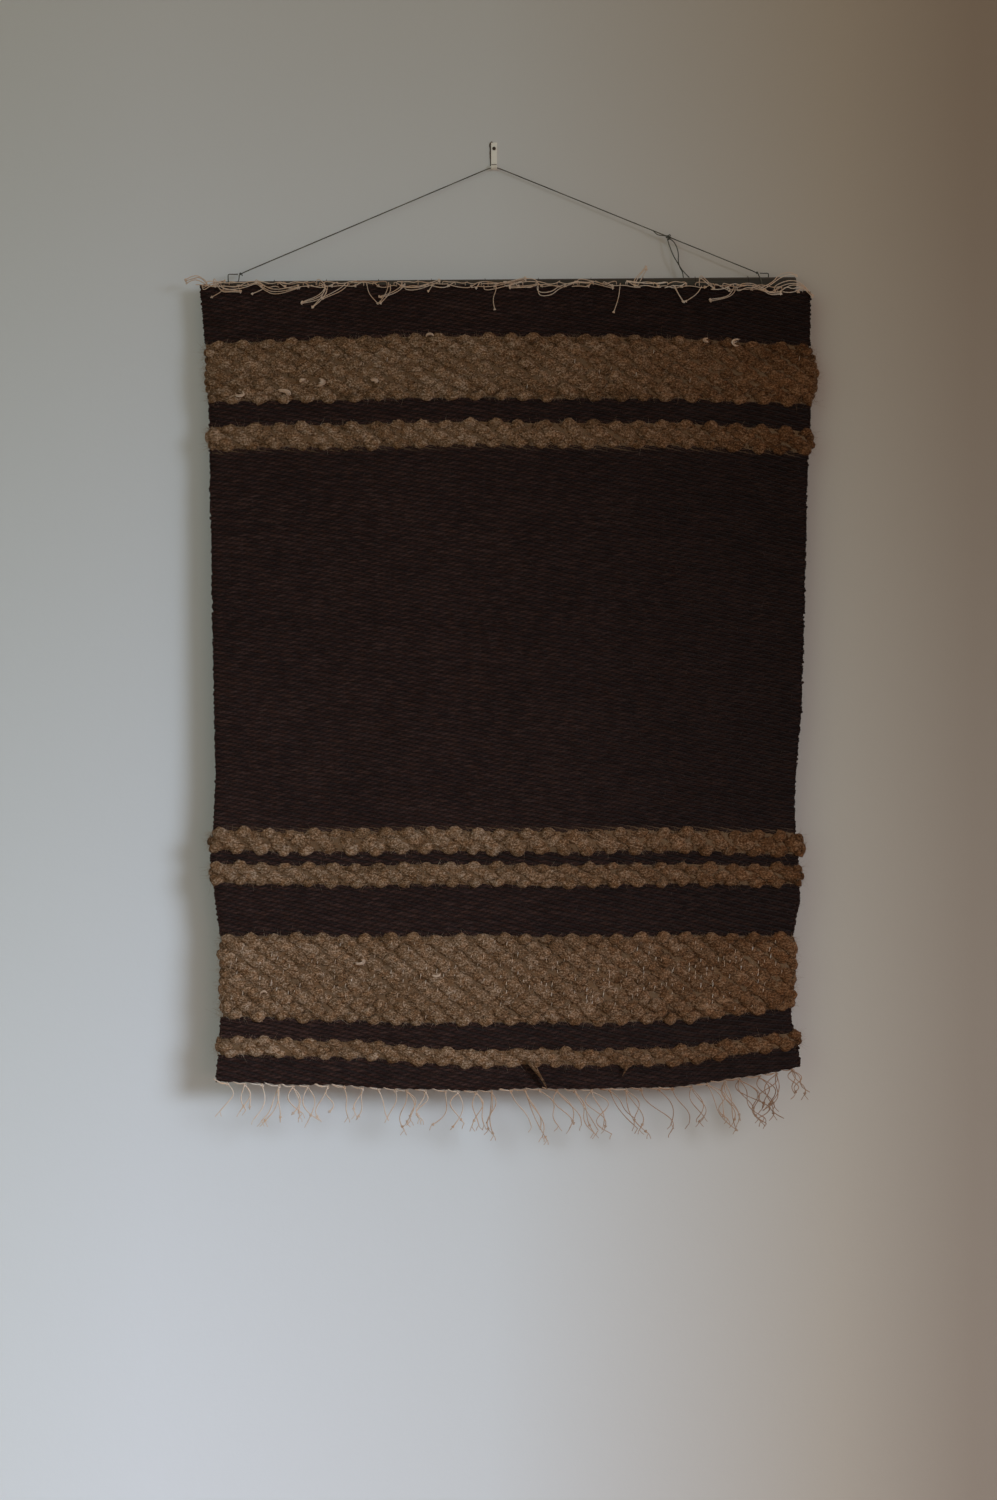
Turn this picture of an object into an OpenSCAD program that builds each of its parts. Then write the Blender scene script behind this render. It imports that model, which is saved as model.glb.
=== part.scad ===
// Handwoven wool wall hanging on a wooden rod, hung by a thread from a strip hook on a wall.
// Millimetres. X runs to the right, Z up, and the wall is the plane Y = 0 with the room at -Y.
// The origin is where the axis of the hook's nail meets the wall.

/* [Wall hook] */
// Width of the bent strip
strip_w = 5.2; // [4.6:0.1:6]
// Thickness of the bent strip
strip_t = 0.9; // [0.8:0.1:1]
// Height of the strip above the nail
strip_above_nail = 5.2; // [4:0.1:8]
// Inner radius of the bend that holds the thread
crook_r = 1.6; // [1.5:0.1:1.8]
// Height of the front lip above the middle of the bend
lip_h = 1.2; // [0.8:0.1:1.6]
// Length of the nail behind the strip
nail_l = 18; // [14:1:22]
// Diameter of the nail's shank in the wall
nail_d = 1.5; // [1.4:0.1:1.6]

/* [Thread] */
// Diameter of the hanging thread
thread_d = 0.9; // [0.8:0.1:1]

/* [Rod] */
// Diameter of the rod
rod_d = 12; // [11:0.5:12]
// Left end of the rod, from the nail
rod_left = 243; // [236:1:246]
// Right end of the rod, from the nail
rod_right = 264; // [250:1:268]

/* [Cloth] */
// Thickness of the dark ground weave
ground_t = 4.2; // [3.5:0.1:5]
// Thickness of the roving bands
band_t = 8; // [6:0.5:9]
// Left edge of the cloth at the top, from the nail
cloth_left = 253; // [250:1:256]
// Right edge of the cloth at the top, from the nail
cloth_right = 275; // [272:1:278]
// Height of the plain ground between the two upper and the two middle bands
field_h = 332; // [300:1:340]
// How far the roving bulges past the edges of the ground
band_bulge = 3.5; // [2:0.5:5]
// Lean of the cloth away from the wall, in degrees
lean = 1.2; // [0.6:0.1:1.5]

/* [Fringe] */
// Spacing of the knotted groups of warp ends
group_pitch = 20.4; // [20:0.1:20.6]
// Thickness of a pair of warp ends
strand_d = 1.8; // [1.4:0.1:2]
// Longest hanging warp ends at the bottom
bottom_l = 44; // [38:1:48]

/* [Hidden] */
$fn = 48;

strip_colour = "ivory";
nail_colour = "#4a4038";
thread_colour = "#4d544c";
rod_colour = "#33241c";
brown = "#2b1c18";
camel = "#7a6248";
linen = "#d8b795";

// The bend of the hook, and the thread lying in it with a small gap all round
gap = 0.3;
crook_y = -strip_t - crook_r;
crook_z = -16.3;
thread_r = thread_d / 2;
bight_z = crook_z - crook_r + thread_r + gap;
bight_half = 2.9;
nail_neck_r = 1;
nail_head_r = 1.5;
nail_head_t = 0.6;
nail_point_l = 2.5;

// The rod rises a little to the right; the textile turns about its axis
rod_r = rod_d / 2;
rod_y = -8;
rod_z = -121.8;
rod_tilt = 0.46;
rod_round = 1.5;
function rod_axis_z(x) = rod_z + x * tan(rod_tilt);

// Places where the thread comes down to the rod, and how far its loops stand above the rod's axis
left_loop = [-220.5, -230.5];
right_loop = [231, 240];
left_loop_rise = 11;
right_loop_rise = 9.6;
loop_r = rod_r + gap + thread_r;
knot_x = 151.5;
knot_r = 1.8;
lashings = 10;
lashing_from = -192;
lashing_pitch = 46;

// The cloth's seams from the top down: depth, rise at the middle, rise at the right edge
top_line = 122.4;
heights = [52.5, 50.5, 22, 19.5, field_h, 16.5, 12, 16, 45.5, 68.5, 23, 14.5, 17.6];
seam_rise = [
    [0, -6], [8, -1], [4, -1], [5, -2], [5, -1], [1, -1], [0, -3], [0, 0],
    [-1, 0], [0, 1], [-7, 10], [-8, 12], [-6, 15], [-9, 13],
];
function depth(k) = k == 0 ? 0 : depth(k - 1) + heights[k - 1];
cloth_h = depth(len(heights));
taper_left = 14.5;
taper_right = 10;
waist = 4;
waist_from = 0.58;
waist_to = 0.7;
lift_from = 0.45;
stations = 14;
// Distance of the cloth's middle plane from the rod's axis
cloth_mid = rod_r + 1.5 + ground_t / 2;

function hump(t) = t <= 0 || t >= 1 ? 0 : sin(180 * t);
function left_x(d) = -cloth_left + taper_left * pow(d / cloth_h, 0.8);
function right_x(d) = cloth_right - taper_right * d / cloth_h
    - waist * hump((d / cloth_h - waist_from) / (waist_to - waist_from));
function across(x) = (2 * x - cloth_right + cloth_left) / (cloth_right + cloth_left);
function lift(u) = pow(max(0, (u - lift_from) / (1 - lift_from)), 2);
function seam_z(k, x) = -top_line - depth(k)
    + seam_rise[k][0] * (1 - pow(across(x), 2)) + seam_rise[k][1] * lift(across(x));
function seam(k) =
    let (x0 = left_x(depth(k)), x1 = right_x(depth(k)))
    [for (i = [0:stations]) let (x = x0 + (x1 - x0) * i / stations) [x, seam_z(k, x)]];
function reversed(list) = [for (i = [len(list) - 1:-1:0]) list[i]];

// Fringe: groups along the seams, and gently scattered lengths and slants
groups = 26;
group_from = -245;
strand_r = strand_d / 2;
tuft_r = 2.4;
function scatter(seed, low, high) = rands(low, high, groups, seed);

// ---- tubes swept along a route of points ----
function unit(v) = v / norm(v);
function along(route, i) =
    unit(route[min(i + 1, len(route) - 1)] - route[max(i - 1, 0)]);
function ring(centre, dir, r, sides, side_ref) =
    let (a = unit(cross(dir, side_ref)), b = cross(a, dir))
    [for (j = [0:sides - 1]) centre + r * (cos(360 * j / sides) * a + sin(360 * j / sides) * b)];

module tube(route, r, sides = 8, side_ref = [0.2, 1, 0.1]) {
    n = len(route);
    points = [for (i = [0:n - 1]) each ring(route[i], along(route, i), r, sides, side_ref)];
    walls = [for (i = [0:n - 2], j = [0:sides - 1])
        let (k = (j + 1) % sides)
        each [[i * sides + j, i * sides + k, (i + 1) * sides + k],
              [i * sides + j, (i + 1) * sides + k, (i + 1) * sides + j]]];
    start = [for (j = [sides - 1:-1:0]) j];
    end = [for (j = [0:sides - 1]) (n - 1) * sides + j];
    polyhedron(points = points, faces = concat([start], walls, [end]));
}

// ---- wall hook ----
module hook_plate() {
    color(strip_colour) difference() {
        translate([-strip_w / 2, 0, 0]) rotate([90, 0, 90]) linear_extrude(strip_w) {
            translate([-strip_t, crook_z]) square([strip_t, strip_above_nail - crook_z]);
            difference() {
                translate([crook_y, crook_z]) circle(crook_r + strip_t);
                translate([crook_y, crook_z]) circle(crook_r);
                translate([crook_y - 2 * crook_r, crook_z]) square(4 * crook_r);
            }
            translate([crook_y - crook_r - strip_t, crook_z]) square([strip_t, lip_h]);
        }
        translate([0, 1, 0]) rotate([90, 0, 0]) cylinder(r = nail_neck_r + 0.1, h = strip_t + 2);
    }
}

module hook_nail() {
    color(nail_colour) rotate([-90, 0, 0]) {
        translate([0, 0, -strip_t - nail_head_t]) cylinder(r = nail_head_r, h = nail_head_t);
        translate([0, 0, -strip_t]) cylinder(r = nail_neck_r, h = strip_t);
        cylinder(r = nail_d / 2, h = nail_l - nail_point_l);
        translate([0, 0, nail_l - nail_point_l])
            cylinder(r1 = nail_d / 2, r2 = 0.2, h = nail_point_l);
    }
}

// ---- thread ----
// Ends of the two legs: at the hook, and at the inner corner of each loop on the rod
function leg_start(side) = [side * (bight_half + gap), crook_y, bight_z];
function leg_end(x, rise) = [x, rod_y, rod_axis_z(x) + rise];
left_start = leg_start(-1);
left_end = leg_end(left_loop[0], left_loop_rise);
right_start = leg_start(1);
right_end = leg_end(right_loop[0], right_loop_rise);
knot_at = right_start + (right_end - right_start) * (knot_x / right_end[0]);

module leg(from, to) {
    color(thread_colour) tube([from, (from * 2 + to) / 3, (from + to * 2) / 3, to], thread_r);
}

module cord_bight() {
    color(thread_colour) translate([-bight_half, crook_y, bight_z]) rotate([0, 90, 0])
        cylinder(r = thread_r, h = 2 * bight_half);
}

module cord_left() leg(left_start, left_end);
module cord_right_upper() leg(right_start, knot_at);
module cord_right_lower() leg(knot_at, right_end);

module cord_knot() {
    color(thread_colour) translate(knot_at) sphere(knot_r);
}

// One turn of thread round the rod: down in front at the inner end, up behind at the outer end
// and back across above the rod to the corner where the leg arrives
function loop_route(xs, rise) =
    let (step = xs[1] - xs[0], z = rod_axis_z((xs[0] + xs[1]) / 2), dir = sign(step))
    concat(
        [[xs[0], rod_y, z + rise], [xs[0] + dir * 0.3, rod_y - 0.9, z + rise - 2]],
        [for (a = [75:-25:-250])
            [xs[0] + dir * 0.6 + (step - dir * 0.6) * (75 - a) / 325,
             rod_y - loop_r * cos(a), z + loop_r * sin(a)]],
        [[xs[1], rod_y + 0.9, z + rise - 2], [xs[1] - dir * 1.2, rod_y + 0.4, z + rise],
         [xs[0] + dir * 2, rod_y + 0.9, z + rise]]);

module cord_hitch_left() {
    color(thread_colour) tube(loop_route(left_loop, left_loop_rise), thread_r, 8, [1, 0.1, 0.2]);
}

module cord_hitch_right() {
    color(thread_colour) tube(loop_route(right_loop, right_loop_rise), thread_r, 8, [1, 0.1, 0.2]);
}

// The two loose ends below the knot, down to the top of the rod
long_tail_route = [
    [151.5, -6.5, -80], [154, -7, -88], [157, -7.5, -95.5], [160, -8, -100.5],
    [163.5, -8.5, -106.5], [166, -8.5, -109.5], [170.5, -8.2, -114],
];
short_tail_route = [
    [153, -6, -79.5], [157, -5.8, -82], [160, -5.6, -87], [161.5, -5.5, -93.5],
    [161, -5.5, -99.5], [162.5, -5.6, -105], [165, -6, -109], [165.5, -6.4, -113.5],
];

module cord_tail_long() { color(thread_colour) tube(long_tail_route, thread_r); }
module cord_tail_short() { color(thread_colour) tube(short_tail_route, thread_r); }

// ---- rod ----
module on_rod(x = 0) {
    translate([0, rod_y, rod_z]) rotate([0, -rod_tilt, 0]) translate([x, 0, 0]) children();
}

module hanging_rod() {
    color(rod_colour) on_rod(-rod_left) rotate([0, 90, 0]) rotate_extrude()
        polygon([
            [0, 0], [rod_r - rod_round, 0], [rod_r - rod_round * 0.3, rod_round * 0.3],
            [rod_r, rod_round], [rod_r, rod_left + rod_right - rod_round],
            [rod_r - rod_round * 0.3, rod_left + rod_right - rod_round * 0.3],
            [rod_r - rod_round, rod_left + rod_right], [0, rod_left + rod_right],
        ]);
}

// Long rings of thread round the rod and through the cloth's top edge
ring_reach = cloth_mid + ground_t / 2 + thread_r + gap;

module half_turn() {
    rotate([90, 0, 90]) rotate_extrude(angle = 180) translate([loop_r, 0]) circle(thread_r);
}

module rod_lashing() {
    straight = ring_reach - loop_r;
    color(thread_colour) hang() for (i = [0:lashings - 1]) on_rod(lashing_from + i * lashing_pitch) {
        rotate([-90, 0, 0]) half_turn();
        translate([0, -straight, 0]) rotate([90, 0, 0]) half_turn();
        for (side = [-1, 1])
            translate([0, 0, side * loop_r]) rotate([90, 0, 0]) cylinder(r = thread_r, h = straight);
    }
}

// ---- cloth ----
// Leans what hangs on the rod, turning it about the rod's axis
module hang() {
    translate([0, rod_y, rod_z]) rotate([-lean, 0, 0]) translate([0, -rod_y, -rod_z]) children();
}

module slab(outline, thickness) {
    translate([0, rod_y - cloth_mid + thickness / 2, 0]) rotate([90, 0, 0])
        linear_extrude(thickness) polygon(outline);
}

module ground(k) {
    color(brown) hang() slab(concat(seam(k), reversed(seam(k + 1))), ground_t);
}

// A band bulges past both edges of the ground, with a round rim down each side
function rim_point(k, side, t) =
    let (d = depth(k) + t * heights[k], bulge = band_bulge * sqrt(sin(180 * t)),
         x = side > 0 ? right_x(d) + bulge : left_x(d) - bulge)
    [x, seam_z(k, x) * (1 - t) + seam_z(k + 1, x) * t];

module band(k) {
    rim_steps = [0.04, 0.2, 0.5, 0.8, 0.96];
    outline = concat(
        seam(k), [for (t = rim_steps) rim_point(k, 1, t)],
        reversed(seam(k + 1)), [for (t = reversed(rim_steps)) rim_point(k, -1, t)]);
    color(camel) hang() slab(outline, band_t);
}

module brown_ground_1() ground(0);
module wool_band_1() band(1);
module brown_ground_2() ground(2);
module wool_band_2() band(3);
module brown_ground_3() ground(4);
module wool_band_3() band(5);
module brown_ground_4() ground(6);
module wool_band_4() band(7);
module brown_ground_5() ground(8);
module wool_band_5() band(9);
module brown_ground_6() ground(10);
module wool_band_6() band(11);
module brown_ground_7() ground(12);

// ---- fringe ----
function group_x(i) = group_from + i * group_pitch;
front_y = rod_y - cloth_mid - ground_t / 2;

module top_knots() {
    color(linen) hang() for (i = [0:groups - 1])
        translate([group_x(i), front_y - tuft_r - gap, seam_z(0, group_x(i))]) sphere(tuft_r);
}

// Pairs of warp ends drooping over the front, with one tuft standing out at each corner
module top_fringe() {
    lengths = scatter(5, 9, 22);
    slants = scatter(9, -70, 70);
    y = front_y - tuft_r - gap;
    color(linen) hang() {
        for (i = [0:groups - 1]) let (x = group_x(i))
            translate([x, y, seam_z(0, x) - tuft_r - gap]) rotate([0, 180 + slants[i] * 0.6, 0])
                translate([0, 0, strand_r]) cylinder(r = strand_r, h = lengths[i], $fn = 16);
        translate([group_x(0) - tuft_r - strand_r, y, seam_z(0, group_from)]) rotate([0, -55, 0])
            cylinder(r = strand_r, h = 17, $fn = 16);
        translate([group_x(groups - 1) + tuft_r + strand_r, y, seam_z(0, cloth_right)])
            rotate([0, 20, 0]) cylinder(r = strand_r, h = 12, $fn = 16);
    }
}

// Pairs of warp ends hanging below the cloth, each with a small knot near its tip
module bottom_fringe() {
    lengths = scatter(3, 0.7 * bottom_l, bottom_l);
    slants = scatter(7, -16, 16);
    y = front_y + ground_t / 2;
    last = len(heights);
    color(linen) hang() for (i = [0:groups - 1]) let (x = group_x(i) + 14 - i * 0.8)
        translate([x, y, seam_z(last, x) - 1.5]) rotate([0, 180 + slants[i], 0]) {
            cylinder(r = strand_r, h = lengths[i], $fn = 16);
            translate([0, 0, lengths[i] - 4]) sphere(1.5, $fn = 16);
        }
}

// A loose end of roving hanging from the lowest band
module wool_tail() {
    x = 30;
    color(camel) hang()
        translate([x, front_y - band_t / 2 - 2, seam_z(12, x) + 4]) rotate([0, 158, 0])
            cylinder(r1 = 3, r2 = 1.5, h = 26, $fn = 24);
}

hook_plate();
hook_nail();
cord_bight();
cord_left();
cord_right_upper();
cord_knot();
cord_right_lower();
cord_hitch_left();
cord_hitch_right();
cord_tail_long();
cord_tail_short();
hanging_rod();
rod_lashing();
brown_ground_1();
wool_band_1();
brown_ground_2();
wool_band_2();
brown_ground_3();
wool_band_3();
brown_ground_4();
wool_band_4();
brown_ground_5();
wool_band_5();
brown_ground_6();
wool_band_6();
brown_ground_7();
top_knots();
top_fringe();
bottom_fringe();
wool_tail();
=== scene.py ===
"""Looks of a handwoven wool hanging: every pick of weft, the thread, the fringes and the fuzz.

Metres, in the frame of the CAD model: X right, Z up, the wall at Y = 0 and the room at -Y.
The cloth's own plane is measured on the CAD slabs, and everything woven is laid out in it.
"""

import math
from functools import partial

import bpy
import numpy as np
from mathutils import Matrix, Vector
from numpy.random import default_rng


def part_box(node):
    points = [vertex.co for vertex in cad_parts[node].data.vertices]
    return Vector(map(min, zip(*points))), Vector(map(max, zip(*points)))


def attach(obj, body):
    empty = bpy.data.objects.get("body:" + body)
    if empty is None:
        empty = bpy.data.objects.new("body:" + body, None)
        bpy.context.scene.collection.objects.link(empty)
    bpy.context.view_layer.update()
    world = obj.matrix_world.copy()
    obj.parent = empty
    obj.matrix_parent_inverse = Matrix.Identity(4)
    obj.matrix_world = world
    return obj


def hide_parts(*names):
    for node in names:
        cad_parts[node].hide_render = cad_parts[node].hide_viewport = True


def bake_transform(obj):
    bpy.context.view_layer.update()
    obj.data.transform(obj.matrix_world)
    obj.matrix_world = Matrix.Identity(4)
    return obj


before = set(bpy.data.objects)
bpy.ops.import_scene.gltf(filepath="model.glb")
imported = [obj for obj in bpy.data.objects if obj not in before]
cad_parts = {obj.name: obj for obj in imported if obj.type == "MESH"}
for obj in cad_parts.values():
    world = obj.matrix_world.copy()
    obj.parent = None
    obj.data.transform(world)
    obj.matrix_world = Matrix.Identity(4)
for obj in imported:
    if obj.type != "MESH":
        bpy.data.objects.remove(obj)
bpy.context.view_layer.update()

MM = 0.001
TAU = 2 * math.pi

# ---- sizes ----
THREAD_D = 0.9 * MM
THREAD_PLY_PITCH = 2.6 * MM
THREAD_PLIES = {"twist": TAU / THREAD_PLY_PITCH, "lobes": 3, "lobe": 0.13}
LINEN_R = 0.42 * MM
LINEN_TWIST = TAU / (3.2 * MM)
WARPS = 100
TOP_GROUPS = 26
BOTTOM_GROUPS = 35
# Height of one pick of the fine weft in each ground: it was beaten a little looser lower down
GROUND_PICKS = [0.94 * MM, 0.96 * MM, 0.98 * MM, 1.05 * MM, 1.12 * MM, 1.08 * MM, 1.08 * MM]
# Each band's picks of roving, and how far they stand past the left and right selvedges
BANDS = {"wool_band_1": (15, 0.8 * MM, 5.2 * MM), "wool_band_2": (5, 2 * MM, 3.4 * MM),
         "wool_band_3": (4, 3 * MM, 7 * MM), "wool_band_4": (5, 1.5 * MM, 3.4 * MM),
         "wool_band_5": (18, 0, 2.2 * MM), "wool_band_6": (4, 2.6 * MM, 3 * MM)}
GROUND_NAMES = [f"brown_ground_{i}" for i in range(1, 8)]
BAND_NAMES = list(BANDS)
# Rows of fine weft that one piece holds at most, so that no mesh grows too heavy to export
ROWS_PER_PIECE = 60
THREAD_STEP = 0.6 * MM
GROUND_STEP = 2.55 * MM
ROVING_STEP = 1.4 * MM

scene = bpy.context.scene


# ---- numbers that vary smoothly ----
def smooth_noise(s, period, seed):
    """A curve through random heights from -1 to 1, one every period along s."""
    place = np.asarray(s) / period
    first = np.floor(place).astype(int)
    low = first.min()
    heights = default_rng(seed).uniform(-1, 1, first.max() - low + 2)
    t = place - first
    t = t * t * (3 - 2 * t)
    return heights[first - low] * (1 - t) + heights[first - low + 1] * t


def unit(v):
    return v / np.linalg.norm(v, axis=-1, keepdims=True)


def round_corners(points, times):
    """Cuts every corner of a route again and again, so that it bends smoothly."""
    route = np.asarray(points, float)
    for _ in range(times):
        a = route[:-1] * 0.75 + route[1:] * 0.25
        b = route[:-1] * 0.25 + route[1:] * 0.75
        middle = np.stack([a, b], 1).reshape(-1, 3)
        route = np.concatenate([route[:1], middle, route[-1:]])
    return route


def evenly(route, step):
    """The same route with its points a step apart."""
    s = np.concatenate([[0], np.cumsum(np.linalg.norm(np.diff(route, axis=0), axis=1))])
    at = np.linspace(0, s[-1], max(3, round(s[-1] / step) + 1))
    return np.stack([np.interp(at, s, route[:, i]) for i in range(3)], 1)


def carried_frame(route):
    """A side direction for each point of a route, carried along without twisting."""
    tangent = unit(np.gradient(route, axis=0))
    start = np.array([0.3, 0.9, 0.2])
    side = unit(start - tangent[0] * (start @ tangent[0]))
    sides = []
    for t in tangent:
        side = unit(side - t * (side @ t))
        sides.append(side)
    return np.array(sides)


# ---- meshes of many tubes ----
class Bundle:
    """Tubes gathered into one mesh, with a tone and fibre coordinates at every point."""

    def __init__(self):
        self.points, self.faces, self.tones, self.fibres = [], [], [], []
        self.count = 0

    def tubes(self, centres, side, half_u, half_v, sides, tone, twist=0.0, lobes=0, lobe=0.0,
              rough=0.0):
        """Adds tubes along centres[tube, ring]; side is the direction of half_v.

        lobe is the depth of the plies, and rough that of random hollows, as shares of the radius.
        """
        centres = np.asarray(centres, float)
        many, rings = centres.shape[:2]
        tangent = unit(np.gradient(centres, axis=1))
        side = np.broadcast_to(side, centres.shape)
        v = unit(side - tangent * np.sum(side * tangent, axis=2, keepdims=True))
        u = np.cross(tangent, v)
        steps = np.linalg.norm(np.diff(centres, axis=1), axis=2)
        s = np.concatenate([np.zeros((many, 1)), np.cumsum(steps, axis=1)], 1)
        angle = TAU * np.arange(sides) / sides
        turned = angle + twist * s[..., None]
        swell = 1 + lobe * np.cos(lobes * turned)
        if rough:
            swell = swell + rough * default_rng(rings).normal(0, 1, turned.shape)
        half_u = np.broadcast_to(half_u, (many, rings))[..., None] * swell
        half_v = np.broadcast_to(half_v, (many, rings))[..., None] * swell
        cos_part = (half_u * np.cos(angle))[..., None] * u[:, :, None, :]
        sin_part = (half_v * np.sin(angle))[..., None] * v[:, :, None, :]
        self.points.append((centres[:, :, None, :] + cos_part + sin_part).reshape(-1, 3))
        along = np.broadcast_to(s[..., None], turned.shape) + 0.37 * np.arange(many)[:, None, None]
        fibre = np.stack([half_v * np.cos(turned), half_v * np.sin(turned), along], 3)
        self.fibres.append(fibre.reshape(-1, 3))
        tone = np.broadcast_to(tone, (many, rings))[..., None]
        self.tones.append(np.broadcast_to(tone, turned.shape).ravel())
        ring = self.count + np.arange(many * rings * sides).reshape(many, rings, sides)
        here, ahead = ring[:, :-1], ring[:, 1:]
        beside_here, beside_ahead = np.roll(here, -1, 2), np.roll(ahead, -1, 2)
        self.faces.append(np.stack([here, ahead, beside_ahead, beside_here], 3).reshape(-1, 4))
        self.faces.append(ring[:, 0])
        self.faces.append(ring[:, -1, ::-1])
        self.count += many * rings * sides

    def tube(self, route, radius, sides, tone, side=None, **more):
        """Adds one round tube along a route of points."""
        side = carried_frame(route) if side is None else side
        self.tubes(route[None], side, radius, radius, sides, tone, **more)

    def build(self, name, material, slot, body="textile"):
        points, corners = np.concatenate(self.points), [f.ravel() for f in self.faces]
        sizes = np.concatenate([np.full(len(f), f.shape[1]) for f in self.faces])
        corners = np.concatenate(corners)
        mesh = bpy.data.meshes.new(name)
        mesh.vertices.add(len(points))
        mesh.vertices.foreach_set("co", points.astype(np.float32).ravel())
        mesh.loops.add(len(corners))
        mesh.loops.foreach_set("vertex_index", corners.astype(np.int32))
        mesh.polygons.add(len(sizes))
        mesh.polygons.foreach_set("loop_start", (np.cumsum(sizes) - sizes).astype(np.int32))
        mesh.polygons.foreach_set("use_smooth", np.ones(len(sizes), bool))
        tone = mesh.attributes.new("tone", "FLOAT", "POINT")
        tone.data.foreach_set("value", np.concatenate(self.tones).astype(np.float32))
        fibre = mesh.attributes.new("fibre", "FLOAT_VECTOR", "POINT")
        fibre.data.foreach_set("vector", np.concatenate(self.fibres).astype(np.float32).ravel())
        mesh.update(calc_edges=True)
        return placed(bpy.data.objects.new(name, mesh), material, body)


def placed(piece, material, body):
    """Puts a new piece in the scene, on its CAD body if it has one, with its material."""
    scene.collection.objects.link(piece)
    piece.data.materials.append(material)
    if body:
        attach(piece, body)
    return piece


# ---- materials ----
def node(tree, kind, settings=None, **inputs):
    """Adds a shader node; each input is a value, or a socket to link from, and n1 is input 1."""
    made = tree.nodes.new("ShaderNode" + kind)
    for key, value in (settings or {}).items():
        setattr(made, key, value)
    for key, value in inputs.items():
        socket = made.inputs[int(key[1:])] if key[0] == "n" else made.inputs[key.replace("_", " ")]
        if isinstance(value, bpy.types.NodeSocket):
            tree.links.new(value, socket)
        else:
            socket.default_value = value
    return made


def math_node(tree, operation, a, b):
    return node(tree, "Math", {"operation": operation}, n0=a, n1=b, n2=0.0).outputs[0]


def scaled(tree, value, factor, base):
    """value * factor + base."""
    return node(tree, "Math", {"operation": "MULTIPLY_ADD"}, n0=value, n1=factor, n2=base).outputs[0]


def spread_out(tree, value, low, high):
    """0 where value is low, 1 where it is high, and even between them."""
    return node(tree, "MapRange", Value=value, From_Min=low, From_Max=high).outputs[0]


def multiplied(tree, colour, by):
    return node(tree, "Mix", {"data_type": "RGBA", "blend_type": "MULTIPLY"}, n0=1.0, n6=colour,
                n7=by).outputs[2]


def noise(tree, vector, scale, detail=3.0, rough=0.6):
    """Noise from 0 to 1 over a vector stretched by scale, a number for each axis."""
    stretched = node(tree, "Mapping", Vector=vector, Scale=scale).outputs[0]
    return node(tree, "TexNoise", Vector=stretched, Scale=1.0, Detail=detail,
                Roughness=rough).outputs["Fac"]


def ramp(tree, factor, stops):
    """A colour that runs through stops of (place, (red, green, blue))."""
    made = node(tree, "ValToRGB", Fac=factor)
    elements = made.color_ramp.elements
    while len(elements) < len(stops):
        elements.new(0.5)
    for element, (place, colour) in zip(elements, stops):
        element.position = place
        element.color = (*colour, 1)
    return made.outputs["Color"]


def new_material(name):
    """An empty material, its node tree, and the place in the object that is being shaded."""
    material = bpy.data.materials.new(name)
    material.use_nodes = True
    tree = material.node_tree
    tree.nodes.clear()
    return material, tree, node(tree, "TexCoord").outputs["Object"]


def bumpy_shader(tree, colour, roughness, height, bump_distance, strength=1.0, **sockets):
    bump = node(tree, "Bump", Height=height, Distance=bump_distance, Strength=strength)
    return node(tree, "BsdfPrincipled", Base_Color=colour, Roughness=roughness,
                Normal=bump.outputs[0], **sockets).outputs[0]


def finished(material, *looks, **sockets):
    """The material, closed with a bumpy shader of these looks and an output."""
    shader = bumpy_shader(material.node_tree, *looks, **sockets)
    node(material.node_tree, "OutputMaterial", Surface=shader)
    return material


def yarn_material(name, stops, around, along, weights, bump_distance, sheen, sheen_colour,
                  right=(1, 1, 1)):
    """Spun or unspun fibre: streaks run along each yarn, and its tone changes from place to place.

    around and along are streaks per metre, and weights those of tone, streaks, patches and specks.
    right is what the colour is multiplied by at the cloth's right edge: painted shade, for the light that
    falls off towards the right.
    """
    material, tree, place = new_material(name)
    fibre = node(tree, "Attribute", {"attribute_name": "fibre"}).outputs["Vector"]
    tone = node(tree, "Attribute", {"attribute_name": "tone"}).outputs["Fac"]
    streaks = noise(tree, fibre, (around, around, along), 4.0, 0.65)
    patches = noise(tree, place, (28, 28, 42), 4.0, 0.6)
    specks = noise(tree, place, (640, 640, 820), 3.0, 0.75)
    mixed = scaled(tree, tone, weights[0], 0.5)
    for factor, weight in zip((streaks, patches, specks), weights[1:]):
        mixed = scaled(tree, math_node(tree, "SUBTRACT", factor, 0.5), weight, mixed)
    tint = ramp(tree, noise(tree, place, (170, 170, 230), 3.0, 0.7),
                [(0.36, (1.0, 0.90, 0.78)), (0.50, (0.96, 0.96, 0.94)), (0.64, (0.90, 0.96, 1.0))])
    # Painted shade: the colour darkens from x = -0.03 towards the cloth's right edge, where less light falls
    across = spread_out(tree, node(tree, "SeparateXYZ", Vector=place).outputs["X"], -0.03, 0.25)
    colour = multiplied(tree, ramp(tree, mixed, stops), tint)
    colour = multiplied(tree, colour, ramp(tree, across, [(0, (1, 1, 1)), (1, right)]))
    return finished(material, colour, scaled(tree, streaks, -0.25, 1.0),
                    scaled(tree, specks, 0.6, streaks), bump_distance, Sheen_Weight=sheen,
                    Sheen_Roughness=0.45, Sheen_Tint=(*sheen_colour, 1), Specular_IOR_Level=0.12)


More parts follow.
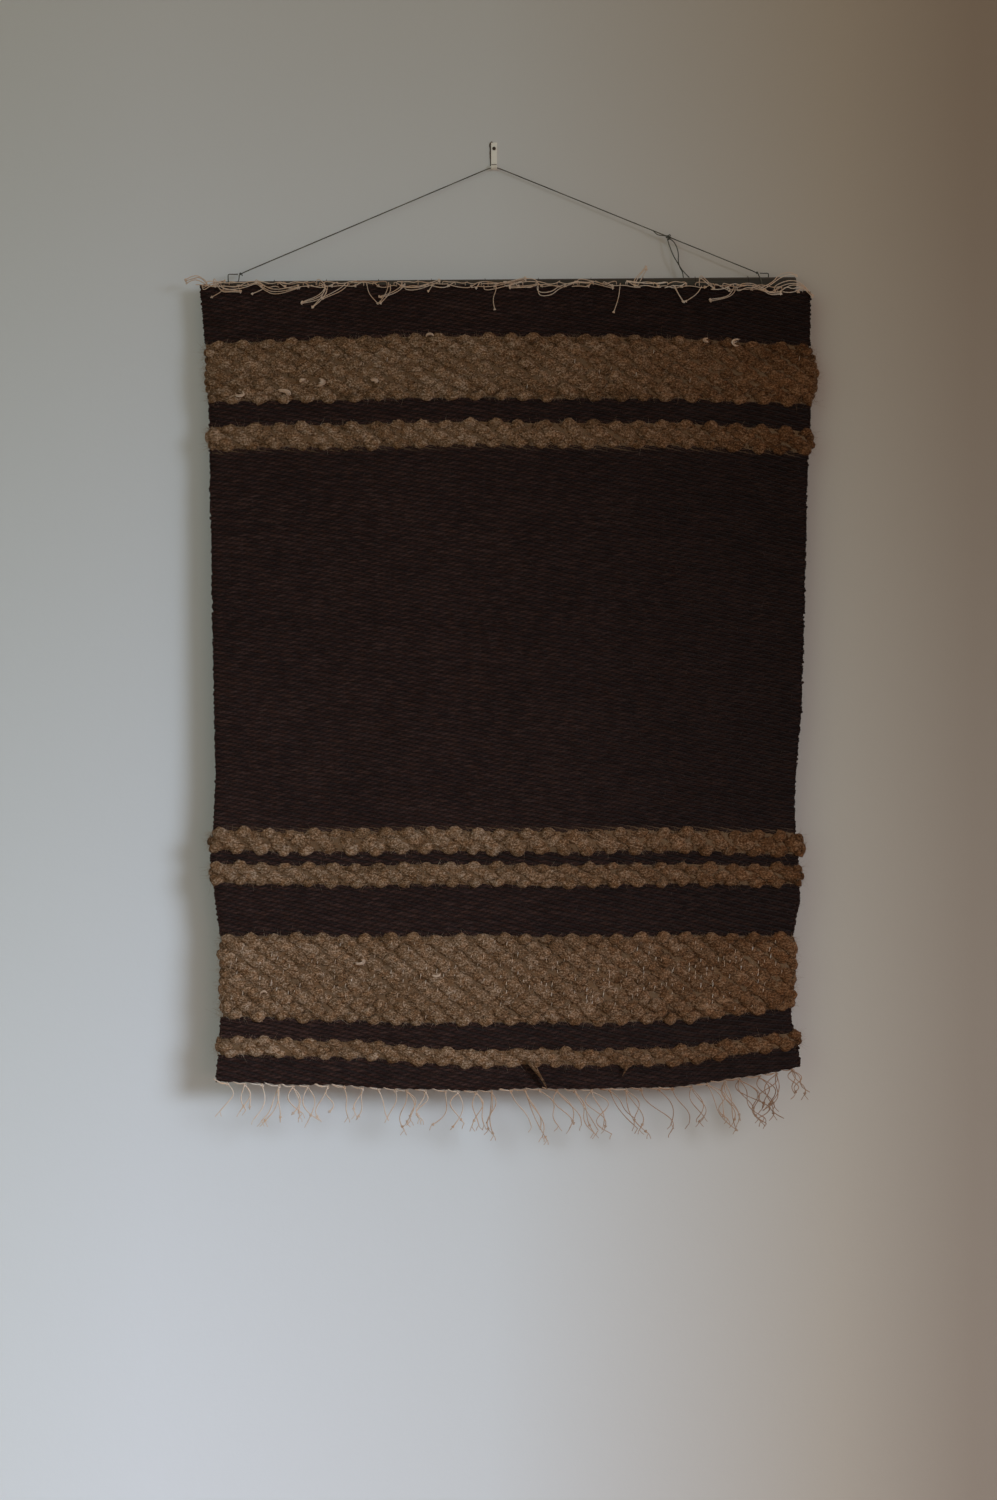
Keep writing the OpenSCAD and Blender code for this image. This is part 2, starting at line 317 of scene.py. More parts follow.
def painted_steel():
    """Thick wall paint over a bent strip, with patches of dirt, and darker and warmer towards its bottom."""
    material, tree, place = new_material("wall_paint_on_steel")
    brushed = noise(tree, place, (900, 900, 260), 4.0, 0.6)
    dirt = noise(tree, place, (420, 420, 420), 5.0, 0.7)
    height = node(tree, "SeparateXYZ", Vector=place).outputs["Z"]
    # Darker and warmer towards the strip's bottom, near the crook
    low = spread_out(tree, height, -13.5 * MM, -17.5 * MM)
    dirt_and_lower_tone = scaled(tree, dirt, 0.5, math_node(tree, "MULTIPLY", low, 0.3))
    colour = ramp(tree, dirt_and_lower_tone, [(0.22, (0.92, 0.92, 0.87)), (0.5, (0.80, 0.77, 0.69)),
                                (0.9, (0.40, 0.32, 0.24))])
    return finished(material, colour, scaled(tree, dirt, 0.3, 0.25), brushed, 0.12 * MM)


def dark_steel():
    material, tree, place = new_material("dark_nail_steel")
    grain = noise(tree, place, (2500, 2500, 2500), 4.0, 0.6)
    colour = ramp(tree, grain, [(0.3, (0.025, 0.02, 0.018)), (0.7, (0.10, 0.075, 0.06))])
    return finished(material, colour, scaled(tree, grain, 0.35, 0.3), grain, 0.05 * MM, Metallic=0.85)


# Dark brown for the painted shadow beside the hook's strip and for the rust and painted shade on its lip's
# end
def rust_and_shadow_edge():
    material, tree, place = new_material("rust_and_shadow_edge")
    scale = noise(tree, place, (900, 900, 500), 5.0, 0.7)
    colour = ramp(tree, scale, [(0.3, (0.030, 0.022, 0.017)), (0.6, (0.085, 0.058, 0.040)),
                                (0.8, (0.19, 0.14, 0.10))])
    return finished(material, colour, 0.85, scale, 0.2 * MM)


def stained_wood():
    """A dark stained dowel: long grain with open pores, worn a little in places."""
    material, tree, place = new_material("dark_stained_wood")
    grain = noise(tree, place, (9, 650, 650), 5.0, 0.62)
    pores = noise(tree, place, (55, 2300, 2300), 2.0, 0.5)
    worn = noise(tree, place, (22, 90, 90), 3.0, 0.6)
    mixed = scaled(tree, worn, 0.35, math_node(tree, "MULTIPLY", grain, 0.65))
    colour = ramp(tree, mixed, [(0.34, (0.013, 0.011, 0.008)), (0.52, (0.030, 0.026, 0.018)),
                                (0.68, (0.065, 0.057, 0.040))])
    return finished(material, colour, scaled(tree, pores, 0.3, 0.55), scaled(tree, pores, 0.6, grain),
                    0.25 * MM)


FIBRE_WEIGHTS = (0.6, 0.3, 0.2, 0.1)
# The last colour in a call, where given, is the painted shade at the cloth's right edge
BROWN = yarn_material(
    "brown_wool", [(0.15, (0.013, 0.0065, 0.006)), (0.5, (0.033, 0.0155, 0.0135)),
                   (0.85, (0.062, 0.033, 0.028))],
    1900, 260, (0.7, 0.7, 0.25, 0.8), 0.4 * MM, 0.02, (0.8, 0.5, 0.4), (0.52, 0.49, 0.46))
CAMEL = yarn_material(
    "camel_roving", [(0.12, (0.050, 0.025, 0.011)), (0.40, (0.140, 0.075, 0.036)),
                     (0.60, (0.225, 0.132, 0.074)), (0.90, (0.46, 0.33, 0.24))],
    900, 130, (0.25, 0.9, 0.25, 2.3), 1.2 * MM, 0.05, (0.95, 0.75, 0.6), (0.60, 0.445, 0.32))
CAMEL_FIBRE = yarn_material(
    "camel_fibre", [(0.2, (0.075, 0.042, 0.021)), (0.55, (0.24, 0.148, 0.086)), (0.9, (0.64, 0.50, 0.38))],
    3000, 200, FIBRE_WEIGHTS, 0.1 * MM, 0.1, (0.95, 0.8, 0.6), (0.72, 0.60, 0.50))
BROWN_FIBRE = yarn_material(
    "brown_fibre", [(0.2, (0.03, 0.02, 0.018)), (0.6, (0.075, 0.05, 0.042)), (0.95, (0.16, 0.12, 0.10))],
    3000, 200, FIBRE_WEIGHTS, 0.1 * MM, 0.1, (0.8, 0.7, 0.65))
LINEN = yarn_material(
    "linen_warp", [(0.08, (0.27, 0.15, 0.09)), (0.46, (0.56, 0.41, 0.31)), (0.74, (0.74, 0.61, 0.51)),
                   (0.98, (0.88, 0.83, 0.77))],
    3200, 350, (0.55, 0.5, 0.3, 0.1), 0.25 * MM, 0.05, (1.0, 0.9, 0.8))
THREAD = yarn_material(
    "dark_thread", [(0.2, (0.030, 0.030, 0.026)), (0.55, (0.10, 0.105, 0.09)), (0.9, (0.22, 0.22, 0.19))],
    3600, 500, (0.5, 0.6, 0.3, 0.1), 0.2 * MM, 0.08, (0.9, 0.9, 0.9))


# ---- camera ----
def make_camera(place, lens):
    """A level camera that looks straight at the wall."""
    data = bpy.data.cameras.new("camera")
    data.lens = lens
    camera = bpy.data.objects.new("camera", data)
    camera.location = place
    camera.rotation_euler = (math.radians(90), 0, 0)
    scene.collection.objects.link(camera)
    scene.camera = camera


make_camera((0.0039, -2.74, -0.5272), 75)


# ---- thread ----
def rod_axis():
    """The rod's centre and direction, measured on its CAD solid."""
    points = np.array([v.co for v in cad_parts["hanging_rod"].data.vertices])
    centre = (points.min(0) + points.max(0)) / 2
    along = np.linalg.svd(points - points.mean(0), full_matrices=False)[2][0]
    return centre, along * np.sign(along[0])


ROD_CENTRE, ROD_ALONG = rod_axis()
ROD_Y = ROD_CENTRE[1]
rod_low, rod_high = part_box("hanging_rod")
ROD_R = (rod_high.y - rod_low.y) / 2
LOOP_R = ROD_R + 0.75 * MM
# Where the thread lies in the crook, then each loop's inner and outer end and its corner's rise
HOOK_Y, BIGHT_Z, BIGHT_HALF = -2.5 * MM, -17.15 * MM, 3.2 * MM
LEFT_LOOP, LEFT_RISE = (-222.4 * MM, -232.6 * MM), 12.4 * MM
RIGHT_LOOP, RIGHT_RISE = (231 * MM, 240 * MM), 9.6 * MM
KNOT_SHARE = 151.5 / 231


def rod_z(x):
    """Height of the rod's axis at x."""
    return ROD_CENTRE[2] + (x - ROD_CENTRE[0]) * ROD_ALONG[2] / ROD_ALONG[0]


def loop_route(xs, rise):
    """One turn round the rod: down in front at its inner end, up behind at its outer end."""
    inner, outer = xs
    step, turn = outer - inner, math.copysign(1, outer - inner)
    z = rod_z((inner + outer) / 2)
    route = [(inner + turn * 0.3 * MM, ROD_Y - 0.9 * MM, z + rise - 2 * MM)]
    for degrees in range(75, -251, -25):
        a, share = math.radians(degrees), (75 - degrees) / 325
        route.append((inner + turn * 0.6 * MM + (step - turn * 0.6 * MM) * share,
                      ROD_Y - LOOP_R * math.cos(a), z + LOOP_R * math.sin(a)))
    route.append((outer, ROD_Y + 0.9 * MM, z + rise - 2 * MM))
    route.append((outer, ROD_Y + 0.6 * MM, z + rise - 0.7 * MM))
    for share in (0.93, 0.8, 0.4, 0.15):
        route.append((inner + step * share, ROD_Y + 0.6 * MM, z + rise))
    return route


left_corner = (LEFT_LOOP[0], ROD_Y, rod_z(LEFT_LOOP[0]) + LEFT_RISE)
right_corner = (RIGHT_LOOP[0], ROD_Y, rod_z(RIGHT_LOOP[0]) + RIGHT_RISE)
left_start = (-BIGHT_HALF, HOOK_Y, BIGHT_Z)
right_start = (BIGHT_HALF, HOOK_Y, BIGHT_Z)
knot_at = np.array(right_start) + KNOT_SHARE * (np.array(right_corner) - np.array(right_start))


def between(a, b, parts):
    """Points that share out the straight line from a to b, without its ends."""
    a, b = np.array(a), np.array(b)
    return [tuple(a + (b - a) * i / parts) for i in range(1, parts)]


def make_thread():
    """The hanging thread in one run, from its left loop over the hook to its right loop."""
    route = loop_route(LEFT_LOOP, LEFT_RISE)[::-1] + [left_corner]
    route += between(left_corner, left_start, 12) + [left_start, (0, HOOK_Y, BIGHT_Z), right_start]
    route += between(right_start, right_corner, 12) + [right_corner]
    route += loop_route(RIGHT_LOOP, RIGHT_RISE)
    path = evenly(round_corners(route, 3), THREAD_STEP)
    bundle = Bundle()
    s = np.arange(len(path)) * THREAD_STEP
    bundle.tube(path, THREAD_D / 2, 12, 0.5 * smooth_noise(s, 9 * MM, 1), **THREAD_PLIES)
    thread = bundle.build("hanging_thread", THREAD, "thread", None)
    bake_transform(thread)
    return thread, path


def knotted(centre, size, turn):
    """A closed overhand knot's route, size across and turned about the Y axis."""
    t = np.linspace(0, TAU, 60)
    x = np.sin(t) + 1.6 * np.sin(2 * t)
    z = np.cos(t) - 1.6 * np.cos(2 * t)
    y = -np.sin(3 * t)
    c, s = math.cos(turn), math.sin(turn)
    return np.array(centre) + size / 5.2 * np.stack([c * x - s * z, y, s * x + c * z], 1)


def make_knot():
    """The overhand knot that joins the two ends, with a slack turn lying at its left."""
    bundle = Bundle()
    bundle.tube(knotted(knot_at, 4.4 * MM, 0.4), THREAD_D / 2 * 0.95, 10, 0.1, **THREAD_PLIES)
    bundle.tube(knotted(knot_at + (0.4 * MM, -0.2 * MM, -0.9 * MM), 3.4 * MM, 1.7),
                THREAD_D / 2 * 0.9, 10, -0.1, **THREAD_PLIES)
    slack = [(-13.5, 0, 5.6), (-11, -0.8, 2.6), (-8.2, -1, 1.2), (-5.2, -0.8, 1.1), (-2.4, -0.2, 0.8)]
    route = knot_at + np.array(slack) * MM
    bundle.tube(evenly(round_corners(route, 3), THREAD_STEP), THREAD_D / 2 * 0.9, 10, 0.0, **THREAD_PLIES)
    knot = bundle.build("thread_knot", THREAD, "thread", "hanger")
    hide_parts("cord_knot")
    return knot


def make_hitch(name, corner, way):
    """Tight turns of the thread's end round its own leg, at the corner over a loop."""
    corner = np.array(corner)
    leg = unit(np.array([way * 2.3, 0.05, 1.0]))
    side = unit(np.cross(leg, (0, 1, 0)))
    forward = np.cross(leg, side)
    angle = np.linspace(0, 1.6 * TAU, 30)
    ring = np.cos(angle)[:, None] * side + np.sin(angle)[:, None] * forward
    route = corner + leg * (0.3 * MM + angle[:, None] / TAU * 0.85 * MM) + ring * 0.7 * MM
    tail = route[-1] + np.array([[way * 0.3, 0.5, -0.6], [way * 0.4, 0.8, -1.6]]) * MM
    bundle = Bundle()
    bundle.tube(np.concatenate([route, tail]), THREAD_D / 2 * 0.9, 10, 0.0, **THREAD_PLIES)
    return bundle.build(name, THREAD, "thread", "hanger")


# The loose ends' routes in millimetres, as in the CAD model
LONG_TAIL = [
    (151.5, -6.5, -80), (154, -7, -88), (157, -7.5, -95.5), (160, -8, -100.5),
    (163.5, -8.5, -106.5), (166, -8.5, -109.5), (170.5, -8.2, -114),
]
SHORT_TAIL = [
    (153, -6, -79.5), (157, -5.8, -82), (160, -5.6, -87), (161.5, -5.5, -93.5),
    (161, -5.5, -99.5), (162.5, -5.6, -105), (165, -6, -109), (165.5, -6.4, -113.5),
]


def make_tail(name, route, replaced):
    """One of the loose ends below the knot, frayed a little at its tip."""
    path = evenly(round_corners(np.array(route) * MM, 3), THREAD_STEP)
    bundle = Bundle()
    bundle.tube(path, THREAD_D / 2, 12, 0.3 * smooth_noise(np.arange(len(path)), 12, 7), **THREAD_PLIES)
    rng = default_rng(len(route))
    for _ in range(9):
        tip = path[-1] + rng.normal(0, 0.5, 3) * MM + unit(path[-1] - path[-4]) * 1.4 * MM
        bundle.tube(np.array([path[-2], (path[-1] + tip) / 2 + 0.1 * MM, tip]), 0.09 * MM, 4, 0.4)
    tail = bundle.build(name, THREAD, "thread", "hanger")
    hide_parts(replaced)


thread, thread_path = make_thread()
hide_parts("cord_bight", "cord_left", "cord_right_upper", "cord_right_lower",
            "cord_hitch_left", "cord_hitch_right")
knot = make_knot()
hitch_left = make_hitch("left_hitch", left_corner, 1)
hitch_right = make_hitch("right_hitch", right_corner, -1)
make_tail("long_thread_tail", LONG_TAIL, "cord_tail_long")
make_tail("short_thread_tail", SHORT_TAIL, "cord_tail_short")


# ---- the cloth's own plane ----
def node_points(name):
    return np.array([v.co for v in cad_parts[name].data.vertices], float)


# Across the cloth, out of it towards the room, up it, and where its middle layer lies along OUT
ACROSS = np.array([1.0, 0, 0])
slab = node_points("brown_ground_3")
OUT = np.linalg.svd(slab - slab.mean(0))[2][2]
OUT = OUT * -np.sign(OUT[1])
UP = np.cross(OUT, ACROSS)
MIDDLE = (slab @ OUT).mean()


def seams_of(name):
    """The upper and lower seam of a ground slab, each as its x and its height in the plane."""
    points = node_points(name)
    flat = np.unique(np.round(np.stack([points @ ACROSS, points @ UP], 1), 5), axis=0)
    pairs = flat.reshape(-1, 2, 2)
    order = np.argsort(pairs[:, :, 1], axis=1)
    low = np.take_along_axis(pairs, order[:, :1, None], 1)[:, 0]
    high = np.take_along_axis(pairs, order[:, 1:, None], 1)[:, 0]
    return high, low


SEAMS = [seam for name in GROUND_NAMES for seam in seams_of(name)]
# The lowest band rides up a little in the left half
for seam in SEAMS[11:13]:
    seam[:, 1] += 5 * MM * np.clip((-0.03 - seam[:, 0]) / 0.06, 0, 1)
CLOTH_TOP = SEAMS[0][:, 1].max()
CLOTH_LOW = SEAMS[-1][:, 1].min()


def share_down(height):
    """How far down the cloth a height in its plane is: 0 at its top, 1 at its lowest point."""
    return (CLOTH_TOP - height) / (CLOTH_TOP - CLOTH_LOW)


def lay(x, height, out):
    """A point of the cloth in space: x across, height up its plane, out towards the room.

    The cloth's slight waves, in its plane and out of it, and its lower left corner's curl towards
    the room are added here for every piece alike.
    """
    x, height, out = np.broadcast_arrays(x, height, out)
    down = share_down(height)
    drift = 0.7 * MM * np.sin(TAU * (x / 0.19 + height / 0.41)) \
        + 0.45 * MM * np.sin(TAU * (x / 0.083 - height / 0.23) + 2)
    wave = 1.3 * MM * np.sin(TAU * (x / 0.34 + 0.25 * down)) \
        + 0.7 * MM * np.sin(TAU * (x / 0.13 - 0.6 * down) + 1)
    curl = np.clip((-x - 0.06) / 0.2, 0, 1) ** 2 * np.clip((down - 0.5) / 0.5, 0, 1) ** 1.5
    height = height + drift * np.minimum(1, 0.3 + down * 3)
    out = MIDDLE + out + wave * np.clip(down * 2.5, 0, 1) + 9 * MM * curl
    return x[..., None] * ACROSS + height[..., None] * UP + out[..., None] * OUT


# How the selvedges wander as the cloth was beaten: share of the way down, and millimetres to the
# right at the left edge and at the right edge
SELVEDGES = np.array([
    (0.0, -3.8, 1.2), (0.07, -0.9, 1.3), (0.17, 1.4, 2.4), (0.22, 1, 0.6), (0.42, 0.8, -0.3),
    (0.52, 0.9, -1.2), (0.62, 1, -5.8), (0.66, -1, -5.5), (0.72, -4.6, -3.4), (0.76, -1.5, -1.1),
    (0.81, 3, -7.7), (0.91, 2.4, -7.7), (0.94, 1.1, -1.5), (0.985, -2.3, 1.6), (1.0, -1.4, 1.6),
])


class Panel:
    """One slab of the cloth, between two seams, with its picks of weft."""

    def __init__(self, index, name, picks, first_pick):
        self.name, self.picks, self.first_pick = name, picks, first_pick
        self.top, self.bottom = SEAMS[index], SEAMS[index + 1]
        self.bulges = BANDS[name][1:] if name in BANDS else (0, 0)
        self.pitch = float((self.top[:, 1] - self.bottom[:, 1]).mean() / picks)

    def edge(self, t, side):
        """x of the selvedge of the ground at share t of the way down, on side -1 or 1."""
        end = 0 if side < 0 else -1
        x, height = (self.top[end, i] * (1 - t) + self.bottom[end, i] * t for i in (0, 1))
        wander = np.interp(share_down(height), SELVEDGES[:, 0], SELVEDGES[:, 1 if side < 0 else 2])
        return x + wander * MM

    def full_edge(self, t, side):
        """x of the edge of the roving, which swells past the ground's selvedge."""
        return self.edge(t, side) + side * self.bulges[side > 0] * np.sqrt(np.sin(math.pi * np.asarray(t)))

    def height(self, x, t):
        return np.interp(x, *self.top.T) * (1 - t) + np.interp(x, *self.bottom.T) * t

    def warp_at(self, x, t):
        """Which warp passes at x, counted from the left."""
        left, right = self.edge(t, -1), self.edge(t, 1)
        return (x - left) / (right - left) * WARPS

    def x_of_warp(self, warp, t):
        left, right = self.edge(t, -1), self.edge(t, 1)
        return left + (right - left) * warp / WARPS


def make_panels():
    panels, pick = [], 0
    for index in range(len(SEAMS) - 1):
        name = (BAND_NAMES if index % 2 else GROUND_NAMES)[index // 2]
        tall = (SEAMS[index][:, 1] - SEAMS[index + 1][:, 1]).mean()
        picks = BANDS[name][0] if name in BANDS else round(tall / GROUND_PICKS[index // 2])
        panels.append(Panel(index, name, picks, pick))
        pick += picks
    return panels


PANELS = make_panels()


def serpentine(panel, rows, step, lay_row):
    """One yarn through its rows and round its turns, from lay_row(t, row, x) for each row.

    lay_row gives a row's rise, its place towards the room, and its half height and half depth.
    """
    pitch = panel.pitch
    # Roving leaves this share of a pick free at its seams, and turns nearer its edge
    spare, turn_room = (0.4, 0.55) if panel.name in BANDS else (0, 0.8)
    reach = min(pitch * 0.5, 2.2 * MM)
    inset = reach + turn_room * pitch
    tuck = 0.6 * inset
    route, tall, thick = [], [], []
    for row in rows:
        t = (row + 0.5 + spare) / (panel.picks + 2 * spare)
        stray = min(pitch, 1.6 * MM) * 0.4 * default_rng(panel.first_pick + row).normal(0, 1, 2)
        left = panel.full_edge(t, -1) + inset + stray[0]
        right = panel.full_edge(t, 1) - inset + stray[1]
        # The yarn's two loose ends are tucked in at the selvedge, where the other rows turn
        if row == rows[0]:
            left, right = (left, right + tuck) if row % 2 else (left - tuck, right)
        if row == rows[-1]:
            left, right = (left - tuck, right) if row % 2 else (left, right + tuck)
        x = np.linspace(left, right, round((right - left) / step))
        if row % 2:
            x = x[::-1]
        rise, out, half_tall, half_thick = lay_row(t, row, x)
        route.append(lay(x, panel.height(x, t) + rise, out))
        tall.append(half_tall)
        thick.append(half_thick)
        if row != rows[-1]:
            way = -1 if row % 2 else 1
            turn = np.linspace(-1.1, 1.1, 5)
            end_x = x[-1] + way * reach * np.cos(turn)
            middle = panel.height(x[-1], t + 0.5 / panel.picks)
            route.append(lay(end_x, middle - pitch * 0.5 * np.sin(turn), 0 * turn))
            tall.append(np.full(5, half_tall[-1]))
            thick.append(np.full(5, half_thick[-1]))
    return np.concatenate(route), np.concatenate(tall), np.concatenate(thick)


def twill_row(panel, t, row, x):
    """A row of fine weft, over two warps and under two, a warp on from the row above."""
    pitch = panel.pitch
    phase = (panel.warp_at(x, t) - panel.first_pick - row) % 4
    over = np.cos(TAU * (phase - 0.5) / 4)
    plump = 1 + 0.08 * smooth_noise(x, 23 * MM, panel.first_pick + row + 2000)
    wobble = smooth_noise(x, 17 * MM, panel.first_pick + row)
    rise = pitch * (0.12 * wobble - 0.42 * np.cos(math.pi * phase))
    tall = pitch * (0.62 + 0.36 * np.abs(over)) * plump
    return rise, 0.6 * MM * np.tanh(2.2 * over), tall, 1.0 * MM * plump


def roving_row(panel, t, row, x):
    """A row of thick roving in the same twill: soft lumps in front, each unlike the next."""
    pitch, seed = panel.pitch, panel.first_pick + row
    stray = 0.45 * smooth_noise(x, 28 * MM, seed) + 0.1 * math.sin(2.4 * seed)
    phase = (panel.warp_at(x, t) - panel.first_pick - row + stray) % 4
    over = np.cos(TAU * (phase - 0.5) / 4) + 0.38
    of_lump = smooth_noise(x, 13 * MM, seed + 3000)
    plump = 1 + 0.17 * smooth_noise(x, 7 * MM, seed + 4000) + 0.08 * of_lump
    out = 1.3 * MM * np.maximum(over, -0.6) + 0.5 * MM * of_lump
    outward = {0: 0.24, panel.picks - 1: -0.24}.get(row, 0)
    rise = pitch * (0.26 * smooth_noise(x, 9 * MM, seed + 5000) - 0.12 * np.cos(math.pi * phase)
                    + 0.1 * np.sin(TAU * (phase - 0.5) / 4) + outward * over)
    tall = pitch * (0.66 + 0.35 * np.where(over > 0, over, -0.8 * over)) * plump
    return rise, out, tall, 2.4 * MM * plump


def dive(panel, tall, least, most):
    """How near a row is to crossing the warp, 0 to 1: the callers darken the tone there as painted shade."""
    return 1 - np.clip((tall / panel.pitch - least) / (most - least), 0, 1)


def make_ground(panel):
    """The dark ground of a panel, in as many pieces as its rows need."""
    pieces = []
    parts = -(-panel.picks // ROWS_PER_PIECE)
    for part in range(parts):
        rows = range(part * panel.picks // parts, (part + 1) * panel.picks // parts)
        route, tall, thick = serpentine(panel, rows, GROUND_STEP, partial(twill_row, panel))
        s = np.arange(len(route)) * GROUND_STEP
        tone = 0.12 * smooth_noise(s, 60 * MM, part + 11) + 0.26 * smooth_noise(s, 7 * MM, part + 12)
        # Painted shade: the weft is darkened where it dives between the warps
        tone = 0.19 + tone - 0.85 * dive(panel, tall, 0.62, 0.98)
        bundle = Bundle()
        bundle.tubes(route[None], OUT, tall, thick, 6, tone, twist=TAU / (9 * MM))
        suffix = f"_part_{part + 1}" if parts > 1 else ""
        piece = bundle.build(f"{panel.name}_weft{suffix}", BROWN, "brown_wool")
        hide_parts(panel.name)
        pieces.append(piece)
    return pieces


def make_band(panel):
    """A band of thick roving, soft and uneven."""
    route, tall, thick = serpentine(panel, range(panel.picks), ROVING_STEP, partial(roving_row, panel))
    s = np.arange(len(route)) * ROVING_STEP
    tone = 0.3 * smooth_noise(s, 45 * MM, 23) + 0.3 * smooth_noise(s, 9 * MM, 24)
    # Painted shade: the roving is darkened where it dives behind the warp, ringing each lump with dark lines
    tone = 0.12 + tone - 1.2 * dive(panel, tall, 0.6, 0.92)
    bundle = Bundle()
    bundle.tubes(route[None], OUT, tall, thick, 14, tone, twist=TAU / (55 * MM), lobes=3, lobe=0.06,
                 rough=0.1)
    piece = bundle.build(f"{panel.name}_roving", CAMEL, "camel_wool")
    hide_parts(panel.name)
    return piece


def grid_quads(grid):
    """The faces of a sheet, from its points' numbers in rows and columns."""
    return np.stack([grid[:-1, :-1], grid[1:, :-1], grid[1:, 1:], grid[:-1, 1:]], 2).reshape(-1, 4)


def grid_rim(grid):
    return np.concatenate([grid[0, :-1], grid[:-1, -1], grid[-1, :0:-1], grid[:0:-1, 0]])


def make_core():
    """The warp with the yarn packed round it, as one thin sheet inside the weft."""
    columns, inset = 80, 2.4 * MM
    points, tones = [], []
    levels = [(panel, t) for panel in PANELS for t in np.linspace(0.02, 0.98, 8)]
    for side in (1, -1):
        for panel, t in levels:
            in_band = panel.name in BANDS
            x = np.linspace(panel.edge(t, -1) + inset, panel.edge(t, 1) - inset, columns)
            half = 0.6 * MM + (1.7 * MM * math.sin(math.pi * t) ** 0.5 if in_band else 0)
            points.append(lay(x, panel.height(x, t), side * half))
            tones.append(1.0 if in_band else -0.4)
    front, back = np.arange(2 * len(levels) * columns).reshape(2, len(levels), columns)
    rim, far_rim = grid_rim(front), grid_rim(back)
    bundle = Bundle()
    bundle.points = bundle.fibres = [np.concatenate(points)]
    bundle.faces = [grid_quads(front), grid_quads(back)[:, ::-1],
                    np.stack([rim, np.roll(rim, -1), np.roll(far_rim, -1), far_rim], 1)]
    bundle.tones = [np.repeat(tones, columns)]
    return bundle.build("cloth_core", CORE, "brown_wool")


CORE = yarn_material(
    "packed_core", [(0.1, (0.012, 0.009, 0.009)), (0.45, (0.03, 0.02, 0.018)), (1.0, (0.17, 0.10, 0.055))],
    700, 700, (0.5, 0.5, 0.3, 0.5), 0.8 * MM, 0.05, (0.8, 0.7, 0.6))

core = make_core()
cloth_pieces = []
for panel in PANELS:
    cloth_pieces += [make_band(panel)] if panel.name in BANDS else make_ground(panel)


# ---- linen fringes ----
def strand_route(start, moves):
    """A route from start, in the cloth's plane, through moves of (across, up, out)."""
    points = np.array(start) + np.array(moves) * MM
    return round_corners(points, 2)


def group_x(i, groups, seam):
    """Where group i of the warp, counted from the left, crosses a seam."""
    left, right = SEAMS[seam][0, 0], SEAMS[seam][-1, 0]
    return left + (right - left) * (i + 0.5) / groups


def seam_height(x, seam):
    return np.interp(x, *SEAMS[seam].T)


def add_strand(bundle, plane_route, radius, tone, step=1.5 * MM):
    """Adds a spun strand along a route given in the cloth's plane."""
    route = evenly(lay(*plane_route.T), step)
    bundle.tube(route, radius, 6, tone, twist=LINEN_TWIST, lobes=2, lobe=0.1)


def add_small_knot(bundle, rng, plane_point, size, tone):
    route = knotted(lay(*plane_point), size, rng.uniform(0, 3))
    bundle.tube(route[::2], LINEN_R * 0.9, 5, tone)


# How far in front of the cloth's middle the strands along the top edge lie
EDGE_OUT = 2.6 * MM

# Tufts that stand out along the top edge: strands in each, then its bends in millimetres,
# across from the nail and up from the seam
TUFTS = [
    (3, [(-249, 0), (-256, 6), (-262, 6), (-268, 3)]), (2, [(-254, -5), (-245, 1), (-234, 3)]),
    (3, [(-243, 3), (-238, -5), (-230, -6), (-221, -6)]), (1, [(-235, -5), (-245, -11)]),
    (2, [(-237, -3), (-220, -3), (-207, 1)]), (3, [(-207, 3), (-200, -3), (-191, -7), (-170, -2)]),
    (1, [(-200, -3), (-211, -8)]), (3, [(-152, 3), (-145, -3), (-151, -11), (-167, -15)]),
    (2, [(-146, -3), (-149, -12), (-158, -19)]), (2, [(-127, 2), (-133, -5), (-149, -12)]),
    (1, [(-111, 2), (-109, -8), (-101, -17)]), (2, [(-91, 2), (-91, -6), (-99, -15)]),
    (2, [(-79, 3), (-80, -3), (-91, -9), (-99, -11)]), (2, [(-78, -4), (-66, -4), (-47, 3)]),
    (1, [(-52, 1), (-57, -6)]), (1, [(-11, 4), (-16, -3)]), (1, [(1, 2), (2, -3), (-1, -12), (1, -21)]),
    (3, [(-10, -2), (5, -1), (27, 5)]), (2, [(10, 0), (23, 4), (36, 4), (40, 1), (31, -2), (14, -2)]),
    (2, [(38, -8), (50, -8), (57, -2), (71, 2)]), (2, [(73, 4), (84, 3), (103, -2)]),
    (1, [(110, 2), (109, -12), (104, -24)]), (3, [(123, 1), (127, 7), (132, 14)]),
    (2, [(157, -1), (160, -8), (165, -14)]), (1, [(180, -1), (177, -8), (167, -14)]),
    (2, [(179, 9), (185, 3), (191, -2)]), (1, [(192, 3), (200, -2), (205, -4)]),
    (2, [(209, -2), (204, -9), (188, -12)]), (3, [(210, -2), (221, 3), (234, 0), (240, -4), (250, -3)]),
    (2, [(232, -1), (242, 5), (249, 12), (259, 15), (263, 12)]),
    (3, [(246, 0), (257, 6), (267, 6), (277, -4)]),
]


